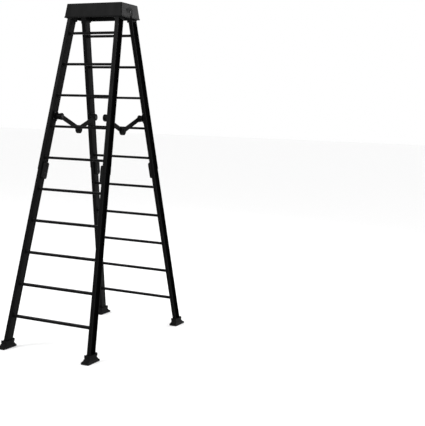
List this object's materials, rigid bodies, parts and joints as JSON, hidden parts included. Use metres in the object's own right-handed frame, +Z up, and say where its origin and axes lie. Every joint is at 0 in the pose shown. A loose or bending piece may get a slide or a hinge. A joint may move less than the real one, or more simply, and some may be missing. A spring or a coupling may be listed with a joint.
{
  "type": "folding step ladder",
  "caption": "Folding double-sided A-frame step ladder with a hinged cap, folding spreaders and legs that split at mid height.",
  "frame": {"origin": "on the floor, under the middle of the open ladder", "axes": "+Z up, X along the rungs and the cap hinge, front side at -Y"},
  "size_m": [1.019, 1.8304, 3.254],
  "materials": {
    "rail_metal": "satin black powder coat over extruded aluminium",
    "rung_metal": "satin black powder coat over extruded aluminium",
    "cap_plastic": "fine-grained moulded black plastic",
    "tongue_plastic": "moulded black nylon",
    "button_plastic": "moulded black nylon",
    "spring_steel": "bright spring wire",
    "bracket_metal": "black painted steel",
    "link_metal": "black painted steel",
    "boot_plastic": "moulded black plastic with a fine grain",
    "fastener_steel": "black finished steel",
    "sole_rubber": "black rubber"
  },
  "bodies": {
    "front_side": {"front_cap": "cap_plastic", "front_rung_01": "rung_metal", "front_rung_02": "rung_metal", "front_rung_03": "rung_metal", "front_rung_04": "rung_metal", "front_rung_05": "rung_metal", "front_rung_06": "rung_metal", "front_rung_07": "rung_metal", "front_rung_08": "rung_metal", "front_rung_09": "rung_metal", "front_rung_10": "rung_metal", "front_left_upper_rail": "rail_metal", "front_left_lower_rail": "rail_metal", "front_left_splice_tongue": "tongue_plastic", "front_left_button_spring": "spring_steel", "front_left_spreader_bracket": "bracket_metal", "front_left_foot_boot": "boot_plastic", "front_right_upper_rail": "rail_metal", "front_right_lower_rail": "rail_metal", "front_right_splice_tongue": "tongue_plastic", "front_right_button_spring": "spring_steel", "front_right_spreader_bracket": "bracket_metal", "front_right_foot_boot": "boot_plastic", "front_spreader_pins": "fastener_steel", "front_foot_soles": "sole_rubber", "right_hinge_bolt": "fastener_steel"},
    "rear_side": {"rear_cap": "cap_plastic", "rear_rung_01": "rung_metal", "rear_rung_02": "rung_metal", "rear_rung_03": "rung_metal", "rear_rung_04": "rung_metal", "rear_rung_05": "rung_metal", "rear_rung_06": "rung_metal", "rear_rung_07": "rung_metal", "rear_rung_08": "rung_metal", "rear_rung_09": "rung_metal", "rear_rung_10": "rung_metal", "rear_left_upper_rail": "rail_metal", "rear_left_lower_rail": "rail_metal", "rear_left_splice_tongue": "tongue_plastic", "rear_left_button_spring": "spring_steel", "rear_left_spreader_bracket": "bracket_metal", "rear_left_foot_boot": "boot_plastic", "rear_right_upper_rail": "rail_metal", "rear_right_lower_rail": "rail_metal", "rear_right_splice_tongue": "tongue_plastic", "rear_right_button_spring": "spring_steel", "rear_right_spreader_bracket": "bracket_metal", "rear_right_foot_boot": "boot_plastic", "rear_spreader_pins": "fastener_steel", "rear_foot_soles": "sole_rubber", "left_hinge_bolt": "fastener_steel"},
    "front_left_button": {"front_left_lock_button": "button_plastic"},
    "front_left_link": {"front_left_spreader_link": "link_metal"},
    "front_right_button": {"front_right_lock_button": "button_plastic"},
    "front_right_link": {"front_right_spreader_link": "link_metal"},
    "rear_left_button": {"rear_left_lock_button": "button_plastic"},
    "rear_left_link": {"rear_left_spreader_link": "link_metal"},
    "rear_right_button": {"rear_right_lock_button": "button_plastic"},
    "rear_right_link": {"rear_right_spreader_link": "link_metal"}
  },
  "joints": [
    {"name": "cap_hinge", "type": "hinge", "parent": "front_side", "child": "rear_side", "pos_m": [0, 0, 3.179], "axis": [-1, 0, 0], "range_deg": [0, 25]},
    {"name": "front_left_link_pivot", "type": "hinge", "parent": "front_side", "child": "front_left_link", "pos_m": [-0.247, -0.299, 2.176], "axis": [-1, 0, 0], "range_deg": [0, 67.11]},
    {"name": "front_right_link_pivot", "type": "hinge", "parent": "front_side", "child": "front_right_link", "pos_m": [0.247, -0.299, 2.176], "axis": [-1, 0, 0], "range_deg": [0, 67.11]},
    {"name": "rear_left_link_pivot", "type": "hinge", "parent": "rear_side", "child": "rear_left_link", "pos_m": [-0.247, 0.299, 2.176], "axis": [1, 0, 0], "range_deg": [0, 67.11]},
    {"name": "rear_right_link_pivot", "type": "hinge", "parent": "rear_side", "child": "rear_right_link", "pos_m": [0.247, 0.299, 2.176], "axis": [1, 0, 0], "range_deg": [0, 67.11]},
    {"name": "front_left_button_press", "type": "slide", "parent": "front_side", "child": "front_left_button", "axis": [0.998, -0.0141, -0.062], "range_m": [0, 0.0065], "stiffness_N_per_m": 900, "springref_m": -0.004, "deforming": ["front_left_button_spring"]},
    {"name": "front_right_button_press", "type": "slide", "parent": "front_side", "child": "front_right_button", "axis": [-0.998, -0.0141, -0.062], "range_m": [0, 0.0065], "stiffness_N_per_m": 900, "springref_m": -0.004, "deforming": ["front_right_button_spring"]},
    {"name": "rear_left_button_press", "type": "slide", "parent": "rear_side", "child": "rear_left_button", "axis": [0.998, 0.0141, -0.062], "range_m": [0, 0.0065], "stiffness_N_per_m": 900, "springref_m": -0.004, "deforming": ["rear_left_button_spring"]},
    {"name": "rear_right_button_press", "type": "slide", "parent": "rear_side", "child": "rear_right_button", "axis": [-0.998, 0.0141, -0.062], "range_m": [0, 0.0065], "stiffness_N_per_m": 900, "springref_m": -0.004, "deforming": ["rear_right_button_spring"]}
  ],
  "couplings": [
    {"joint": "front_left_link_pivot", "follows": "cap_hinge", "ratio": 2.6822},
    {"joint": "front_right_link_pivot", "follows": "cap_hinge", "ratio": 2.6822},
    {"joint": "rear_left_link_pivot", "follows": "cap_hinge", "ratio": 2.6822},
    {"joint": "rear_right_link_pivot", "follows": "cap_hinge", "ratio": 2.6822}
  ]
}
